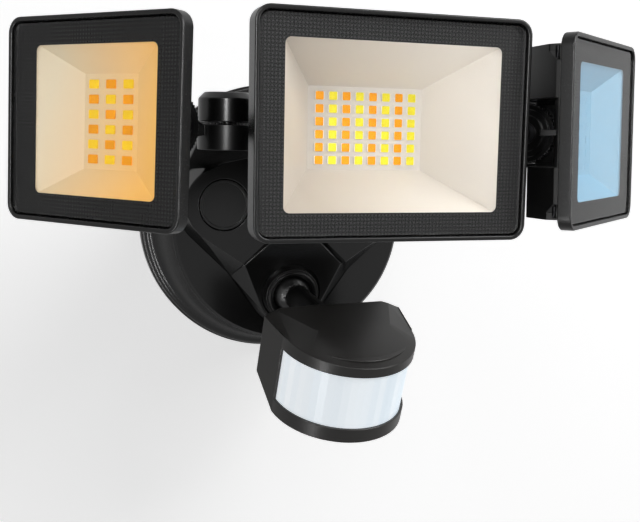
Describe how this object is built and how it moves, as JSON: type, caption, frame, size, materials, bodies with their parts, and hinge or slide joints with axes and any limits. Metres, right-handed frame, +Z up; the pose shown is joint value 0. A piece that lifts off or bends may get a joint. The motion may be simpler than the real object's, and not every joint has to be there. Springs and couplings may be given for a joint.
{
  "type": "motion sensor security floodlight",
  "caption": "Wall-mounted LED security floodlight: rectangular lamps on pan and tilt knuckles, a round base and a pivoting motion sensor.",
  "frame": {"origin": "centre of the wall plate's two box-screw slots, on the wall plane", "axes": "+X to the right as seen from the front, +Y into the wall, +Z up; the lamps face -Y"},
  "size_m": [0.2888, 0.2015, 0.1924],
  "materials": {
    "base_black": "die-cast, satin black powder coat",
    "lamp_black": "die-cast, satin black powder coat",
    "bezel_black": "semi-gloss black",
    "sensor_dark": "semi-gloss dark grey",
    "dial_grey": "matt dark grey",
    "foam": "closed-cell foam",
    "zinc": "zinc plated",
    "board_green": "green solder mask",
    "part_black": "black epoxy",
    "white_plastic": "white nylon",
    "lens": "milky translucent",
    "clear_glass": "clear tempered glass",
    "mask_black": "black screen print",
    "silicone": "silicone",
    "reflector_white": "white moulded",
    "led_orange": "orange phosphor",
    "led_yellow": "yellow phosphor"
  },
  "bodies": {
    "base": {"base_dish": "base_black", "wall_gasket": "foam", "wall_plate": "zinc", "arm_carrier": "base_black", "fixing_screws": "zinc", "screw_caps": "base_black", "carrier_screws": "zinc", "driver_board": "board_green", "driver_parts": "part_black", "terminal_block": "white_plastic", "pan_bolts": "zinc", "socket_ring": "base_black"},
    "left_swivel": {"left_swivel": "lamp_black"},
    "left_lamp": {"left_housing": "lamp_black", "left_bezel": "bezel_black", "left_glass": "clear_glass", "left_mask": "mask_black", "left_seal": "silicone", "left_reflector": "reflector_white", "left_led_board": "reflector_white", "left_warm_leds": "led_orange", "left_cool_leds": "led_yellow", "left_tilt_bolt": "zinc", "left_bezel_screws": "zinc"},
    "centre_swivel": {"centre_swivel": "lamp_black"},
    "centre_lamp": {"centre_housing": "lamp_black", "centre_bezel": "bezel_black", "centre_glass": "clear_glass", "centre_mask": "mask_black", "centre_seal": "silicone", "centre_reflector": "reflector_white", "centre_led_board": "reflector_white", "centre_warm_leds": "led_orange", "centre_cool_leds": "led_yellow", "centre_tilt_bolt": "zinc", "centre_bezel_screws": "zinc"},
    "right_swivel": {"right_swivel": "lamp_black"},
    "right_lamp": {"right_housing": "lamp_black", "right_bezel": "bezel_black", "right_glass": "clear_glass", "right_mask": "mask_black", "right_seal": "silicone", "right_reflector": "reflector_white", "right_led_board": "reflector_white", "right_warm_leds": "led_orange", "right_cool_leds": "led_yellow", "right_tilt_bolt": "zinc", "right_bezel_screws": "zinc"},
    "sensor_arm": {"sensor_stem": "base_black"},
    "sensor_head": {"sensor_shell": "sensor_dark", "sensor_back": "sensor_dark", "sensor_lens": "lens", "sensor_board": "board_green", "pir_element": "zinc", "sensor_pin": "zinc"},
    "time_dial": {"time_dial": "dial_grey"},
    "light_dial": {"light_dial": "dial_grey"},
    "range_dial": {"range_dial": "dial_grey"}
  },
  "joints": [
    {"name": "left_pan", "type": "hinge", "parent": "base", "child": "left_swivel", "pos_m": [-0.0526, -0.116, 0.053], "axis": [0, 0, 1], "range_deg": [-39, 8]},
    {"name": "left_tilt", "type": "hinge", "parent": "left_swivel", "child": "left_lamp", "pos_m": [-0.08959, -0.14596, 0.0515], "axis": [0.6293, -0.7771, 0], "range_deg": [-30, 30]},
    {"name": "centre_pan", "type": "hinge", "parent": "base", "child": "centre_swivel", "pos_m": [0, -0.086, 0.053], "axis": [0, 0, 1], "range_deg": [-8, 3]},
    {"name": "centre_tilt", "type": "hinge", "parent": "centre_swivel", "child": "centre_lamp", "pos_m": [0, -0.1336, 0.0515], "axis": [1, 0, 0], "range_deg": [-20, 25]},
    {"name": "right_pan", "type": "hinge", "parent": "base", "child": "right_swivel", "pos_m": [0.0526, -0.116, 0.053], "axis": [0, 0, 1], "range_deg": [-4, 51]},
    {"name": "right_tilt", "type": "hinge", "parent": "right_swivel", "child": "right_lamp", "pos_m": [0.08256, -0.15299, 0.0515], "axis": [0.7771, 0.6293, 0], "range_deg": [-17, 20]},
    {"name": "sensor_pan", "type": "hinge", "parent": "base", "child": "sensor_arm", "pos_m": [0, -0.045, -0.0368], "axis": [0, 0, 1], "range_deg": [-33, 17]},
    {"name": "sensor_tilt", "type": "hinge", "parent": "sensor_arm", "child": "sensor_head", "pos_m": [0.00546, -0.08388, -0.04443], "axis": [0.9903, 0.1392, 0], "range_deg": [-20, 25]},
    {"name": "time_dial_turn", "type": "hinge", "parent": "sensor_head", "child": "time_dial", "pos_m": [-0.00562, -0.11282, -0.08639], "axis": [0.0407, -0.2895, 0.9563], "range_deg": [-135, 135]},
    {"name": "light_dial_turn", "type": "hinge", "parent": "sensor_head", "child": "light_dial", "pos_m": [0.00924, -0.11074, -0.08639], "axis": [0.0407, -0.2895, 0.9563], "range_deg": [-135, 135]},
    {"name": "range_dial_turn", "type": "hinge", "parent": "sensor_head", "child": "range_dial", "pos_m": [0.02409, -0.10865, -0.08639], "axis": [0.0407, -0.2895, 0.9563], "range_deg": [-135, 135]}
  ]
}
